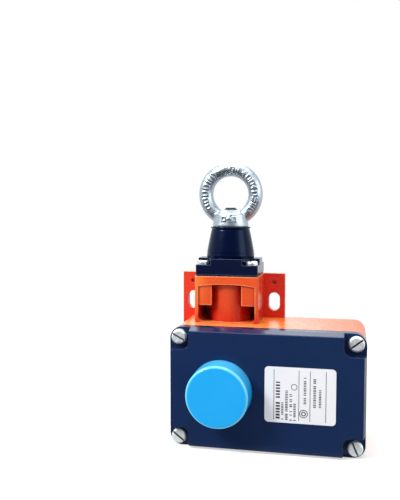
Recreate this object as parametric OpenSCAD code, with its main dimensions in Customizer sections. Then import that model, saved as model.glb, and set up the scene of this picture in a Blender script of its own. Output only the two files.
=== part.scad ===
// Rope pull switch: a two-way latching safety switch in a die-cast housing.
// Pulling the eye, or letting the rope go slack, slides the cam on the pull rod
// past one of two plungers and opens its contact. The blue button resets the latch.
// Millimetres. Z is up along the pull rod, -Y faces the operator.
// Origin: on the mounting plane (Y = 0), on the pull rod's centre plane (X = 0),
// level with the two mounting slots (Z = 0).

/* [Housing] */
// Width of the housing
body_w = 128; // [106:1:160]
// Height of the housing without its neck
body_h = 80; // [72:1:100]
// Depth of the housing from the mounting plane to the gasket
body_d = 45.7; // [45:0.1:56]
// Radius of the housing's four long corners
body_r = 8; // [5.5:0.5:10]
// Thickness of the housing's walls
wall = 3.5; // [2.5:0.1:4.5]
// Distance from the pull rod to the housing's left side
body_left = 34.5; // [33:0.5:45]

/* [Neck and ears] */
// Width of the neck
neck_w = 44; // [43:0.5:50]
// Depth of the neck from the mounting plane
neck_d = 35; // [34:0.5:42]
// Height of the neck above the housing
neck_h = 32; // [30:0.5:40]
// Thickness of the neck's side walls
neck_wall = 2.4; // [2:0.1:4]
// Outer diameter of the spring barrel in the neck
barrel_d = 29; // [26:0.5:31]
// Bore of the spring barrel
barrel_bore = 21; // [20:0.1:22.5]
// Thickness of the mounting ears
ear_t = 5; // [4:0.5:8]
// Overall width across both ears
ears_w = 74.4; // [70:0.2:86]
// Distance between the two mounting slots
slot_spacing = 59.3; // [57:0.1:68]
// Width of a mounting slot
slot_w = 8; // [5.5:0.1:8.5]
// Length of a mounting slot
slot_l = 13; // [10:0.5:15]
// Height of the mounting slots above the housing
slot_rise = 11.7; // [10:0.1:16]

/* [Cover] */
// Overall thickness of the cover
cover_t = 13.5; // [12.5:0.5:18]
// Depth of the corner pockets below the cover's face
pocket_depth = 6.6; // [5:0.1:8]
// Side length of a corner pocket
pocket_w = 14.2; // [13:0.1:16]
// Draft of each side of the raised panel
cover_draft = 1.5; // [0.5:0.1:2.5]
// Thickness of the cover gasket
gasket_t = 0.8; // [0.5:0.1:1.5]
// Distance of the cover screws from the housing's sides
screw_inset = 6.5; // [6:0.1:7.5]
// Width and height of the rating plate
label_size = [45, 36]; // [30:1:50]
// Thickness of the rating plate
label_t = 0.4; // [0.3:0.1:1]

/* [Reset button] */
// Diameter of the reset button at its skirt
button_d = 41.5; // [31:0.5:42]
// How far the button stands out of the cover
button_out = 15.5; // [13:0.5:30]
// Distance of the button's centre to the right of the pull rod
button_x = 1; // [0:0.5:4]
// Travel of the reset button
reset_travel = 4; // [2:0.5:4]
// Diameter of the reset stem
stem_d = 8; // [6:0.5:9]

/* [Pull head] */
// Diameter of the pull rod
rod_d = 10; // [8:0.5:12]
// Full travel of the pull rod
pull_travel = 12; // [8:0.5:12]
// Height of the head flange
flange_h = 11; // [9:0.5:14]
// Diameter of the boot at its base
boot_d = 33.3; // [30:0.1:34]
// Height of the boot
boot_h = 21.7; // [20:0.1:26]
// Outer diameter of the lifting eye's ring
ring_od = 45; // [42:0.5:54]
// Inner diameter of the lifting eye's ring
ring_id = 25; // [20:0.5:30]
// Diameter of the lifting eye's collar
collar_d = 25; // [22:0.5:30]

/* [Contact block] */
// Distance between the two plungers
plunger_pitch = 20; // [20:0.5:22]
// Diameter of the plungers
plunger_d = 4; // [3:0.1:4.5]
// Length that the rod travels for each unit that a plunger moves
cam_rate = 4; // [4:0.5:6]
// Width of the contact block
block_w = 38; // [37:0.5:44]

/* [Cable entry] */
// Minor radius of the M20 x 1.5 cable entries
entry_r = 9.19; // [7:0.01:10]
// Length of the cable entry threads
entry_l = 10; // [8:0.5:12]

/* [Clearances] */
// Radial running clearance of shafts in their bushes
run_gap = 0.05; // [0.02:0.01:0.1]
// Radial clearance of threads and pressed pieces
thread_gap = 0.05; // [0.02:0.01:0.1]
// Radial clearance of screws in their holes
screw_gap = 0.25; // [0.1:0.05:0.4]
// Gap between moving pieces and what they pass
free_gap = 0.3; // [0.2:0.05:0.4]

/* [Hidden] */
$fn = 48;
e = 0.01;

orange = "#F0562A";
navy = "#142347";
zinc = "#C9CDD2";
steel = "#9FA4A8";
brass = "#C8A24A";
rubber = "#10131C";

// Levels of the housing
top_z = -slot_rise;
bottom_z = top_z - body_h;
mid_z = (top_z + bottom_z) / 2;
left_x = -body_left;
right_x = left_x + body_w;
mid_x = (left_x + right_x) / 2;
front_y = -body_d;
in_left = left_x + wall;
in_right = right_x - wall;
in_top = top_z - wall;
in_bottom = bottom_z + wall;
in_back = -wall;

// Levels of the neck and the pull head, up along the rod
rod_y = -neck_d / 2;
neck_z = top_z + neck_h;
band_h = 5.5;
arch_rise = 1.5;
boss_w = 10.3;
boss_drop = 14.5;
flange_w = neck_w - 1;
recess_r = 3.5;
head_gasket_t = 1;
flange_z = neck_z + head_gasket_t;
flange_top = flange_z + flange_h;
seat_z = flange_top + boot_h;
ring_r = (ring_od + ring_id) / 4;
ring_section_r = (ring_od - ring_id) / 4;
ring_z = seat_z + ring_od / 2;
collar_h = 11.6;
crown_h = 2.2;
collar_taper = 0.9;

// Rod guides and the main spring
bore_floor = top_z - 0.5;
bush_flange_t = 2;
bush_r = 7;
plate_t = 2.5;
clip_t = 1.2;
clip_z = bore_floor + bush_flange_t + free_gap;
plate_z = clip_z + clip_t;
spring_z = plate_z + plate_t;
spring_top = flange_z - bush_flange_t;
spring_wire = 1.8;
spring_mean_r = (barrel_bore - 2 * free_gap - spring_wire) / 2 - 0.6;
seal_t = 3;
seal_r = 9;
spigot_h = 3;
boot_wall = 2.4;
boot_web = 2;
boot_top_r = 13.8;
washer_t = 1.2;
lock_nut_t = 6;

// Screws: radii of shanks and heads
m5_r = 2.5;
m5_head = [5, 3.1];
m4_r = 2;
m4_head = [4, 2.6];
m35_r = 1.75;
m35_head = [3.2, 2.4];
m3_r = 1.5;
m3_head = [2.8, 2];
flange_screw_inset = 4.5;
flange_pocket_w = 10.6;
land = 0.4;
flange_pocket_d = 4.2;
flange_screw_x = flange_w / 2 - flange_screw_inset;
flange_screw_y = neck_d / 2 - flange_screw_inset;

// Cover
cover_back = front_y - gasket_t;
cover_front = cover_back - cover_t;
pocket_y = cover_front + pocket_depth;
cover_wall = 3;
screws = [for (i = [0, 1], j = [0, 1])
    [i == 0 ? left_x + screw_inset : right_x - screw_inset,
     j == 0 ? bottom_z + screw_inset : top_z - screw_inset]];
screw_turns = [-38, -28, -66, 38];
post_r = 5.25;
cover_screw_l = 22;
label_x = (button_x + button_d / 2 + right_x) / 2 - 5.3;
label_z = mid_z - 0.1;

// Reset button and its guide in the cover
button_z = mid_z - 0.5;
button_front = cover_front - button_out;
cap_wall = 3;
cap_r = button_d / 2;
cap_draft = 0.5;
cap_edge = 2;
well_wall = 3;
well_r = cap_r + free_gap;
well_floor = cover_back - well_wall;
skirt_y = cover_front + cover_wall;
hub_r = 8.5;
hub_y = cover_back - 11.5;
reset_bush_r = 6;
stem_r = stem_d / 2;
reset_seal_t = 3;
reset_wire = 1.5;
reset_mean_r = hub_r + free_gap + 1.2 + reset_wire / 2;
reset_clip_t = 1;

// Latch: the stem turns the pawl about a pin above it
pawl_y = -35;
pawl_z = button_z + 7.7;
pawl_w = 8;
pawl_t = 4;
pawl_x = button_x - pawl_w / 2;
pawl_hub_r = 4;
pin_r = 2;
nose_z = pawl_z + 6.5;
nose_h = 3;
stem_end = pawl_y - pawl_t / 2 - free_gap;
cheek_x = -14;
sheet = 1.5;
stand_off = 3;
bracket_z = pawl_z;
bracket_screws_z = [bracket_z - 5, bracket_z + 5];
bracket_screw_x = -20;
latch_wire = 0.9;

// Switching cam: two flanks that meet in a valley
block_z = mid_z + 4.7;
slack_z = block_z + plunger_pitch / 2;
pull_z = block_z - plunger_pitch / 2;
plunger_travel = pull_travel / cam_rate;
valley_x = 7.5;
cam_half = 9;
cam_half_d = 8.5;
flank_over = 3;
valley_over = 1.5;
cam_top = slack_z + flank_over;
cam_bottom = pull_z - pull_travel - flank_over;
groove_d = 3.5;
nut_t = 4;
shank_r = 4;
rod_end = cam_bottom - washer_t - nut_t - 1.3;
rod_top = seat_z + collar_h + 1.6;

// Contact block: one channel for each plunger
plunger_r = plunger_d / 2;
tip_reach = (plunger_r + free_gap) * sqrt(1 + 1 / (cam_rate * cam_rate));
pull_tip = valley_x + tip_reach;
slack_tip = valley_x + plunger_travel + tip_reach;
block_x = 16;
block_right = block_x + block_w;
block_half_h = plunger_pitch / 2 + 9.5;
block_front = rod_y - 9.5;
block_back = -8;
guide_wall = 5;
chamber_x = block_x + guide_wall;
chamber_end = block_x + 22;
chamber_half = 7;
chamber_back = block_back - 2;
strip_x = chamber_x + 4;
strip_t = 1.2;
strip_in = 3;
strip_w = 3.8;
strip_z = strip_in + strip_w / 2;
rivet_t = 0.6;
contact_gap = 0.1;
closed_x = strip_x + strip_t + 2 * rivet_t + contact_gap;
bridge_half = 6.5;
bridge_d = 5;
collar_r = 2.6;
collar_t = 1.5;
collar_x = chamber_x + free_gap;
terminal_x = block_right - 7;
pad_w = 7.6;
clamp_w = 6.6;
clamp_t = 1.2;
block_cover_t = 3.5;
block_screw_x = [block_x + 2.8, chamber_end - 2];

// Cable entries and the earth terminal
entry_y = front_y / 2;
entry_boss_r = entry_r + 4.3;
plug_x = in_right - 20;
earth_x = in_right - 26;
earth_z = bottom_z + 14.7;
earth_boss = 5.5;

// ---- building blocks ----

module cyl_x(r, x0, x1) translate([x0, 0, 0]) rotate([0, 90, 0]) cylinder(r = r, h = x1 - x0);

module cyl_y(r, y0, y1) translate([0, y1, 0]) rotate([90, 0, 0]) cylinder(r = r, h = y1 - y0);

module cyl_z(r, z0, z1) translate([0, 0, z0]) cylinder(r = r, h = z1 - z0);

// A drawing in X and Z, extruded along Y
module along_y(y0, y1) translate([0, y1, 0]) rotate([90, 0, 0]) linear_extrude(y1 - y0) children();

// A drawing in Y and Z, extruded along X
module along_x(x0, x1) translate([x0, 0, 0]) rotate([90, 0, 90]) linear_extrude(x1 - x0) children();

module block(x, y, z) translate([x[0], y[0], z[0]]) cube([x[1] - x[0], y[1] - y[0], z[1] - z[0]]);

module round_rect(w, h, r) {
    square([w - 2 * r, h], center = true);
    square([w, h - 2 * r], center = true);
    for (x = [-1, 1], y = [-1, 1]) translate([x * (w / 2 - r), y * (h / 2 - r)]) circle(r);
}

// A tube along Z
module ring(r_out, r_in, z0, z1) difference() {
    cyl_z(r_out, z0, z1);
    cyl_z(r_in, z0 - 1, z1 + 1);
}

// The outline of a revolved piece with a rounded outer top edge
module rounded_half(r, h, edge) {
    square([r - edge, h]);
    square([r, h - edge]);
    translate([r - edge, h - edge]) circle(edge);
}

// A slotted pan-head screw along Z, seated at Z = 0
module pan_screw(r, head, l, turn = 0) difference() {
    union() {
        rotate_extrude() rounded_half(head[0], head[1], head[1] * 0.42);
        cyl_z(r, -l, e);
    }
    rotate([0, 0, turn]) translate([-head[0] - 1, -head[0] * 0.12, head[1] * 0.58])
        cube([2 * head[0] + 2, head[0] * 0.24, head[1]]);
}

// A hexagon nut along Z from Z = 0
module hex_nut(flats, r, t) difference() {
    intersection() {
        cylinder(r = flats / sqrt(3), h = t, $fn = 6);
        cylinder(r1 = flats / 2 + t, r2 = flats / 2, h = t);
    }
    cyl_z(r, -1, t + 1);
}

// A wound spring along Z from 0 to l, with one closed coil at each end
module coil(mean_r, wire, l, turns, steps = 18, sides = 6) {
    n = turns * steps;
    pitch = (l - 3 * wire) / (turns - 2);
    rise = function(t) t < 1 ? wire * (0.5 + t)
        : t > turns - 1 ? l - wire * (0.5 + turns - t)
        : 1.5 * wire + (t - 1) * pitch;
    points = [for (i = [0:n], k = [0:sides - 1])
        let (a = 360 * i / steps, b = 360 * k / sides, r = mean_r + wire / 2 * cos(b))
        [r * cos(a), r * sin(a), rise(i / steps) + wire / 2 * sin(b)]];
    sides_of = [for (i = [0:n - 1], k = [0:sides - 1])
        let (a = i * sides + k, b = i * sides + (k + 1) % sides)
        [a, b, b + sides, a + sides]];
    caps = [[for (k = [sides - 1:-1:0]) k], [for (k = [0:sides - 1]) n * sides + k]];
    polyhedron(points, [for (f = concat(sides_of, caps)) [for (i = [len(f) - 1:-1:0]) f[i]]], convexity = 10);
}

// ---- housing ----

module body_outline() translate([mid_x, mid_z]) round_rect(body_w, body_h, body_r);

module body_inside() translate([mid_x, mid_z])
    round_rect(body_w - 2 * wall, body_h - 2 * wall, body_r - wall);

module at_cover_screws() for (p = screws) translate([p[0], 0, p[1]]) children();

module at_rod() translate([0, rod_y, 0]) children();

module at_flange_screws() for (x = [-1, 1], y = [-1, 1])
    translate([x * flange_screw_x, rod_y + y * flange_screw_y, 0]) children();

module slot_outline() {
    translate([-slot_w / 2, -(slot_l - slot_w) / 2]) square([slot_w, slot_l - slot_w]);
    for (z = [-1, 1]) translate([0, z * (slot_l - slot_w) / 2]) circle(slot_w / 2);
}

// The mounting plate behind the neck, with both ears. The left ear runs down past the corner of the housing.
module ear_plate() along_y(-ear_t, 0) {
    translate([-ears_w / 2, top_z - e]) square([ears_w, neck_z - top_z + e]);
    translate([-ears_w / 2, top_z - body_r]) square([body_r + 3, body_r + 1]);
}

// The open front of the neck: round lower corners and a lower edge of the band that arches up
module neck_recess() {
    w = neck_w - 2 * neck_wall;
    floor_z = top_z + 0.4;
    roof_z = neck_z - band_h - arch_rise;
    arch_r = w * w / arch_rise / 8 + arch_rise / 2;
    translate([0, (floor_z + roof_z) / 2]) round_rect(w, roof_z - floor_z, recess_r);
    translate([-w / 2, roof_z - recess_r - 1]) square([w, recess_r + 1]);
    intersection() {
        translate([-w / 2, roof_z - e]) square([w, 2 * arch_rise]);
        translate([0, roof_z + arch_rise - arch_r]) circle(arch_r);
    }
}

// Bosses under the band that take the four head screws
module neck_bosses() for (side = [-1, 1]) {
    x = side > 0 ? [neck_w / 2 - neck_wall - boss_w + 1, neck_w / 2 - 1]
        : [1 - neck_w / 2, boss_w - 1 + neck_wall - neck_w / 2];
    block(x, [1 - neck_d, boss_w + 1 - neck_d], [neck_z - band_h - boss_drop, neck_z - 1]);
    block(x, [-boss_w - 1, -1], [neck_z - band_h - boss_drop, neck_z - 1]);
}

module housing() color(orange) difference() {
    union() {
        difference() {
            along_y(front_y, 0) body_outline();
            along_y(front_y - 1, in_back) body_inside();
        }
        intersection() {
            along_y(front_y, 0) body_outline();
            at_cover_screws() cyl_y(post_r, front_y, -1);
        }
        difference() {
            translate([0, rod_y, top_z - 1]) linear_extrude(neck_h + 1) round_rect(neck_w, neck_d, 1);
            along_y(-neck_d - 1, -ear_t) neck_recess();
        }
        ear_plate();
        neck_bosses();
        at_rod() cyl_z(barrel_d / 2, top_z - 1, neck_z - 1);
        for (x = block_screw_x) translate([x, 0, block_z]) cyl_y(3.75, block_back, -1);
        for (z = bracket_screws_z) translate([bracket_screw_x, 0, z]) cyl_y(3.5, in_back - stand_off, -1);
        translate([earth_x, 0, earth_z]) cyl_y(4.5, in_back - earth_boss, -1);
        translate([0, entry_y, mid_z]) cyl_x(entry_boss_r, right_x - entry_l, right_x - 1);
        translate([plug_x, entry_y, 0]) cyl_z(entry_boss_r, bottom_z + 1, bottom_z + entry_l);
    }
    at_rod() cyl_z(barrel_bore / 2, bore_floor, neck_z + 1);
    at_rod() cyl_z(bush_r + thread_gap, in_top - 1, bore_floor + 1);
    at_cover_screws() cyl_y(m5_r + thread_gap, front_y - 1, front_y + 16);
    at_flange_screws() cyl_z(m4_r + thread_gap, neck_z - 14, neck_z + 1);
    for (x = [-1, 1]) translate([x * slot_spacing / 2, 0]) {
        along_y(-ear_t - 1, 1) slot_outline();
        translate([0, 0, slot_l / 2 + 7.5]) cyl_y(1.7, -ear_t - 1, 1.8 - ear_t);
    }
    for (x = block_screw_x) translate([x, 0, block_z]) cyl_y(m3_r + thread_gap, block_back - 1, -1.5);
    for (z = bracket_screws_z)
        translate([bracket_screw_x, 0, z]) cyl_y(m3_r + thread_gap, in_back - stand_off - 1, -1.5);
    translate([earth_x, 0, earth_z]) cyl_y(m4_r + thread_gap, in_back - earth_boss - 1, -1.5);
    translate([0, entry_y, mid_z]) cyl_x(entry_r, right_x - entry_l - 1, right_x + 1);
    translate([plug_x, entry_y, 0]) cyl_z(entry_r, bottom_z - 1, bottom_z + entry_l + 1);
}

// ---- cover ----

module cover_gasket() color(rubber) difference() {
    along_y(cover_back, front_y) difference() {
        union() {
            difference() {
                offset_body(-0.4);
                offset_body(0.3 - wall);
            }
            intersection() {
                offset_body(-0.4);
                for (p = screws) translate(p) circle(post_r);
            }
        }
        for (p = screws) translate(p) circle(m5_r + screw_gap);
    }
}

// The housing's outline moved inwards by a negative amount
module offset_body(d) translate([mid_x, mid_z])
    round_rect(body_w + 2 * d, body_h + 2 * d, max(body_r + d, 1));

// The drafted section of the raised panel, with a rounded edge
module panel_section(half) {
    edge = 0.9;
    top = half - cover_draft - edge;
    polygon(concat([[half, 0]],
        [for (a = [0:18:90]) [top + edge * cos(a), pocket_depth - edge + edge * sin(a)]],
        [for (a = [90:18:180]) [-top + edge * cos(a), pocket_depth - edge + edge * sin(a)]],
        [[-half, 0]]));
}

// A corner pocket: square, with one round corner towards the middle of the cover
module pocket_outline(w) {
    r = 5;
    square([w, w - r]);
    square([w - r, w]);
    translate([w - r, w - r]) circle(r);
}

module at_pockets(w) for (i = [-1, 1], j = [-1, 1])
    translate([mid_x + i * body_w / 2, mid_z + j * body_h / 2]) mirror([i > 0 ? 1 : 0, 0])
        mirror([0, j > 0 ? 1 : 0]) translate([-1, -1]) pocket_outline(w + 1);

module raised_panel() difference() {
    intersection() {
        translate([mid_x, pocket_y, bottom_z]) mirror([0, 1, 0])
            linear_extrude(body_h) panel_section(body_w / 2);
        translate([left_x, pocket_y, mid_z]) mirror([0, 1, 0]) rotate([90, 0, 90])
            linear_extrude(body_w) rotate(90) mirror([0, 1]) panel_section(body_h / 2);
    }
    along_y(cover_front - 1, pocket_y) at_pockets(pocket_w);
}

module cover() color(navy) difference() {
    union() {
        difference() {
            union() {
                along_y(pocket_y, cover_back) body_outline();
                raised_panel();
            }
            difference() {
                along_y(cover_front + cover_wall, cover_back + 1) body_inside();
                along_y(cover_front, pocket_y + cover_wall) at_pockets(pocket_w + cover_wall);
            }
        }
        intersection() {
            along_y(pocket_y + 1, cover_back) body_outline();
            at_cover_screws() cyl_y(post_r + 0.5, pocket_y + 1, cover_back);
        }
        translate([button_x, 0, button_z]) difference() {
            cyl_y(well_r + well_wall, cover_front + 1, cover_back);
            cyl_y(well_r, cover_front, well_floor);
        }
        translate([button_x, 0, button_z]) cyl_y(hub_r, hub_y, cover_back - 1);
    }
    translate([button_x, 0, button_z]) {
        cyl_y(well_r, cover_front - 1, cover_front + cover_wall + 1);
        cyl_y(reset_bush_r + thread_gap, hub_y - 1, cover_back + 1);
    }
    at_cover_screws() cyl_y(m5_r + screw_gap, pocket_y - 1, cover_back + 1);
}

module cover_screws() color(zinc) for (i = [0:3])
    translate([screws[i][0], pocket_y, screws[i][1]]) rotate([90, 0, 0])
        pan_screw(m5_r, m5_head, cover_screw_l, screw_turns[i]);

module label_plate() color("white") translate([label_x, 0, label_z])
    along_y(cover_front - label_t, cover_front) round_rect(label_size[0], label_size[1], 2.5);

// ---- reset button ----

module at_button() translate([button_x, 0, button_z]) children();

module reset_button() color("#18A0F0") at_button() difference() {
    l = skirt_y - button_front;
    translate([0, skirt_y, 0]) rotate([90, 0, 0]) difference() {
        rotate_extrude() {
            polygon([[0, 0], [cap_r, 0], [cap_r - cap_draft, l - cap_edge], [0, l - cap_edge]]);
            rounded_half(cap_r - cap_draft, l, cap_edge);
        }
        cyl_z(cap_r - cap_wall, -1, l - cap_wall);
    }
}

module reset_stem() color(steel) at_button() difference() {
    union() {
        cyl_y(stem_r, button_front + cap_wall, stem_end - stem_r);
        translate([0, stem_end - stem_r, 0]) sphere(stem_r);
        cyl_y(stem_r + 2.5, button_front + cap_wall, button_front + cap_wall + 2);
    }
    translate([0, 0, 0]) difference() {
        cyl_y(stem_r + 1, cover_back + free_gap, cover_back + free_gap + reset_clip_t);
        cyl_y(stem_r - 0.5, cover_back, cover_back + free_gap + reset_clip_t + 1);
    }
}

module reset_bush() color(brass) at_button() difference() {
    cyl_y(reset_bush_r, hub_y + reset_seal_t, cover_back);
    cyl_y(stem_r + run_gap, hub_y, cover_back + 1);
}

module reset_seal() color(rubber) at_button() difference() {
    cyl_y(reset_bush_r, hub_y, hub_y + reset_seal_t);
    cyl_y(stem_r + run_gap, hub_y - 1, hub_y + reset_seal_t + 1);
}

module reset_spring() color(steel) at_button()
    translate([0, well_floor, 0]) rotate([90, 0, 0])
        coil(reset_mean_r, reset_wire, well_floor - button_front - cap_wall, 8);

module reset_clip() color(steel) at_button() difference() {
    cyl_y(stem_r + 2.5, cover_back + free_gap, cover_back + free_gap + reset_clip_t);
    cyl_y(stem_r - 0.5 + thread_gap, cover_back, cover_back + free_gap + reset_clip_t + 1);
    block([stem_r - 1, stem_r + 4], [cover_back, cover_back + 3], [-2.5, 2.5]);
}

// ---- pull head ----

module flange_outline() translate([0, rod_y]) round_rect(flange_w, neck_d, 1.5);

module head_gasket() color(rubber) difference() {
    translate([0, 0, neck_z]) linear_extrude(head_gasket_t) translate([0, rod_y])
        round_rect(flange_w - 0.6, neck_d - 0.6, 1.5);
    at_rod() cyl_z(barrel_bore / 2 + 0.2, neck_z - 1, flange_z + 1);
    at_flange_screws() cyl_z(m4_r + screw_gap, neck_z - 1, flange_z + 1);
}

// The corners around the screw heads, cut back to the round land that the boot stands on
module flange_pockets() difference() {
    for (x = [-1, 1], y = [-1, 1]) translate([x * flange_w / 2, rod_y + y * neck_d / 2])
        square(2 * flange_pocket_w, center = true);
    translate([0, rod_y]) circle(boot_d / 2 + land);
}

module head_flange() color(navy) difference() {
    union() {
        difference() {
            translate([0, 0, flange_z]) linear_extrude(flange_h) flange_outline();
            translate([0, 0, flange_top - flange_pocket_d]) linear_extrude(flange_h) flange_pockets();
        }
        at_rod() cyl_z(boot_d / 2 - boot_wall - thread_gap, flange_top - 1, flange_top + spigot_h);
    }
    at_rod() {
        cyl_z(bush_r + thread_gap, flange_z - 1, flange_top);
        cyl_z(seal_r + thread_gap, flange_top - seal_t, flange_top + spigot_h + 1);
    }
    at_flange_screws() cyl_z(m4_r + screw_gap, flange_z - 1, flange_top);
}

module head_screws() color(zinc) at_flange_screws() translate([0, 0, flange_top - flange_pocket_d])
    pan_screw(m4_r, m4_head, 18, 35);

module guide_bush() color(brass) at_rod() difference() {
    union() {
        cyl_z(barrel_bore / 2 - free_gap, flange_z - bush_flange_t, flange_z);
        cyl_z(bush_r, flange_z - e, flange_top - seal_t);
    }
    cyl_z(rod_d / 2 + run_gap, flange_z - bush_flange_t - 1, flange_top);
}

module rod_seal() color(rubber) at_rod()
    ring(seal_r, rod_d / 2 + run_gap, flange_top - seal_t, flange_top);

// The boot: a short straight foot, a wall that bulges as it tapers, and a lip under the eye
module boot() color(rubber) at_rod() rotate_extrude() {
    foot = 3.2;
    lip = 1.6;
    r0 = boot_d / 2;
    steps = 8;
    bulge = 0.35;
    wall_r = function(t) r0 + (boot_top_r - 0.5 - r0) * t + bulge * sin(180 * t);
    rise = function(t) flange_top + foot + (boot_h - foot - lip) * t;
    outer = concat([[r0, flange_top]],
        [for (i = [0:steps]) [wall_r(i / steps), rise(i / steps)]],
        [[boot_top_r, seat_z - lip + 0.3], [boot_top_r, seat_z]]);
    inner = concat([[rod_d / 2 + 0.1, seat_z], [rod_d / 2 + 0.1, seat_z - boot_web]],
        [for (i = [steps:-1:0]) [wall_r(i / steps) - boot_wall, min(rise(i / steps), seat_z - boot_web)]],
        [[r0 - boot_wall, flange_top]]);
    polygon(concat(outer, inner));
}

module boot_washer() color(zinc) at_rod()
    ring(10, rod_d / 2 + 0.1, seat_z - boot_web - washer_t, seat_z - boot_web);

module lock_nut() color(zinc) translate([0, rod_y, seat_z - boot_web - washer_t - lock_nut_t])
    hex_nut(16, rod_d / 2 + thread_gap, lock_nut_t);

// The forged eye nut: a ring over a collar that flares down to its seat
// Half the collar's section: a tapered side, a round shoulder and a crown that slopes up to the thread
module collar_half() {
    r = collar_d / 2;
    shoulder = 1.4;
    side = collar_h - crown_h - shoulder;
    polygon([[0, 0], [r, 0], [r, 1.2], [r - collar_taper, side], [r - collar_taper - shoulder, side + shoulder],
        [rod_d / 2 + 0.6, collar_h], [0, collar_h]]);
    translate([r - collar_taper - shoulder, side]) circle(shoulder);
}

module pull_eye() color(zinc) at_rod() difference() {
    union() {
        translate([0, 0, ring_z]) rotate([90, 0, 0]) rotate_extrude($fn = 96)
            translate([ring_r, 0]) circle(ring_section_r, $fn = 48);
        translate([0, 0, seat_z]) rotate_extrude() collar_half();
    }
    cyl_z(rod_d / 2 + thread_gap, seat_z - 1, ring_z);
}

module pull_rod() color(steel) at_rod() difference() {
    union() {
        cyl_z(rod_d / 2, cam_top, rod_top - 1.8);
        translate([0, 0, rod_top - 1.8 - e]) cylinder(r1 = rod_d / 2, r2 = rod_d / 2 - 1.8, h = 1.8 + e);
        cyl_z(shank_r, rod_end, cam_top + e);
    }
    ring(rod_d / 2 + 1, rod_d / 2 - 0.3, clip_z, clip_z + clip_t);
}

module spring_plate() color(steel) at_rod()
    ring(barrel_bore / 2 - free_gap, rod_d / 2 + thread_gap, plate_z, plate_z + plate_t);

module plate_clip() color(steel) at_rod() difference() {
    ring(rod_d / 2 + 2.2, rod_d / 2 - 0.3 + thread_gap, clip_z, clip_z + clip_t);
    block([rod_d / 2 - 1, rod_d], [-1.6, 1.6], [clip_z - 1, plate_z + 1]);
}

module main_spring() color(steel) translate([0, rod_y, spring_z])
    coil(spring_mean_r, spring_wire, spring_top - spring_z, 7, 20, 8);

module lower_bush() color(brass) at_rod() difference() {
    union() {
        cyl_z(barrel_bore / 2 - free_gap, bore_floor, bore_floor + bush_flange_t);
        cyl_z(bush_r, in_top, bore_floor + e);
    }
    cyl_z(rod_d / 2 + run_gap, in_top - 1, plate_z);
}

// The cam: the slack flank above and the pull flank below run into one valley
module switching_cam() color("#E8E4D8") difference() {
    translate([0, rod_y, 0]) rotate([90, 0, 0]) translate([0, 0, -cam_half_d])
        linear_extrude(2 * cam_half_d) polygon([
            [-cam_half, cam_bottom], [valley_x + (pull_z - cam_bottom) / cam_rate, cam_bottom],
            [valley_x - valley_over / cam_rate, pull_z + valley_over],
            [valley_x - valley_over / cam_rate, slack_z - pull_travel - valley_over],
            [valley_x + (cam_top - slack_z + pull_travel) / cam_rate, cam_top], [-cam_half, cam_top]]);
    at_rod() cyl_z(shank_r + thread_gap, cam_bottom - 1, cam_top + 1);
    block([pawl_x - 1, pawl_x + pawl_w + 1], [rod_y - cam_half_d - 1, rod_y - cam_half_d + groove_d],
        [nose_z - nose_h - pull_travel, cam_top + 1]);
}

module cam_washer() color(zinc) at_rod()
    ring(8, shank_r + thread_gap, cam_bottom - washer_t, cam_bottom);

module cam_nut() color(zinc) translate([0, rod_y, cam_bottom - washer_t - nut_t])
    hex_nut(13, shank_r + thread_gap, nut_t);

// ---- latch ----

module latch_bracket() color(zinc) difference() {
    back = in_back - stand_off;
    union() {
        block([in_left + 5, cheek_x + sheet], [back - sheet, back], [bracket_z - 9, bracket_z + 9]);
        along_x(cheek_x, cheek_x + sheet) {
            translate([pawl_y, bracket_z]) circle(6);
            translate([pawl_y, bracket_z - 6]) square([back - pawl_y, 12]);
            translate([back - 8, bracket_z - 9]) square([8, 18]);
        }
    }
    translate([0, pawl_y, pawl_z]) cyl_x(pin_r + thread_gap, cheek_x - 1, cheek_x + sheet + 1);
    for (z = bracket_screws_z) translate([bracket_screw_x, 0, z]) cyl_y(m3_r + screw_gap, back - 3, back + 1);
}

module bracket_screws() color(zinc) for (z = bracket_screws_z)
    translate([bracket_screw_x, in_back - stand_off - sheet, z]) rotate([90, 0, 0]) pan_screw(m3_r, m3_head, 6, 20);

module latch_pin() color(steel) translate([0, pawl_y, pawl_z]) difference() {
    union() {
        cyl_x(pin_r, cheek_x - e, pawl_x + pawl_w + 2);
        cyl_x(3.2, cheek_x - 1.4, cheek_x);
    }
    translate([pawl_x + pawl_w + 0.2, 0, 0]) rotate([0, 90, 0]) ring(3, pin_r - 0.4, 0, 0.8);
}

module latch_pawl() color("#B8BCC0") difference() {
    along_x(pawl_x, pawl_x + pawl_w) {
        translate([pawl_y, pawl_z]) circle(pawl_hub_r);
        translate([pawl_y - pawl_t / 2, pawl_z - 10]) square([pawl_t, 10 + nose_z - pawl_z + nose_h / 2]);
        translate([pawl_y, nose_z - nose_h / 2])
            square([rod_y - cam_half_d + groove_d - 1.8 - pawl_y, nose_h]);
    }
    translate([0, pawl_y, pawl_z]) cyl_x(pin_r + run_gap, pawl_x - 1, pawl_x + pawl_w + 1);
}

module latch_spring() color(steel) {
    coil_l = pawl_x - 0.4 - cheek_x - sheet;
    translate([cheek_x + sheet + 0.1, pawl_y, pawl_z]) rotate([0, 90, 0])
        coil(pin_r + 0.4 + latch_wire / 2, latch_wire, coil_l, 6, 14, 6);
}

module latch_clip() color(steel) translate([pawl_x + pawl_w + 0.2, pawl_y, pawl_z]) rotate([0, 90, 0])
    difference() {
        ring(pin_r + 2, pin_r - 0.4 + thread_gap, 0, 0.8);
        block([-1.2, 1.2], [0.5, 5], [-1, 2]);
    }

// ---- contact block ----

// Channels of the contact block: [height, plunger tip centre, bridge place at rest]
pull_channel = [pull_z, pull_tip, closed_x];
slack_channel = [slack_z, slack_tip, closed_x + plunger_travel];
channels = [pull_channel, slack_channel];
strip_levels = [for (c = channels, s = [-1, 1]) c[0] + s * strip_z];

module at_terminals() for (z = strip_levels) translate([terminal_x, 0, z]) children();

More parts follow.
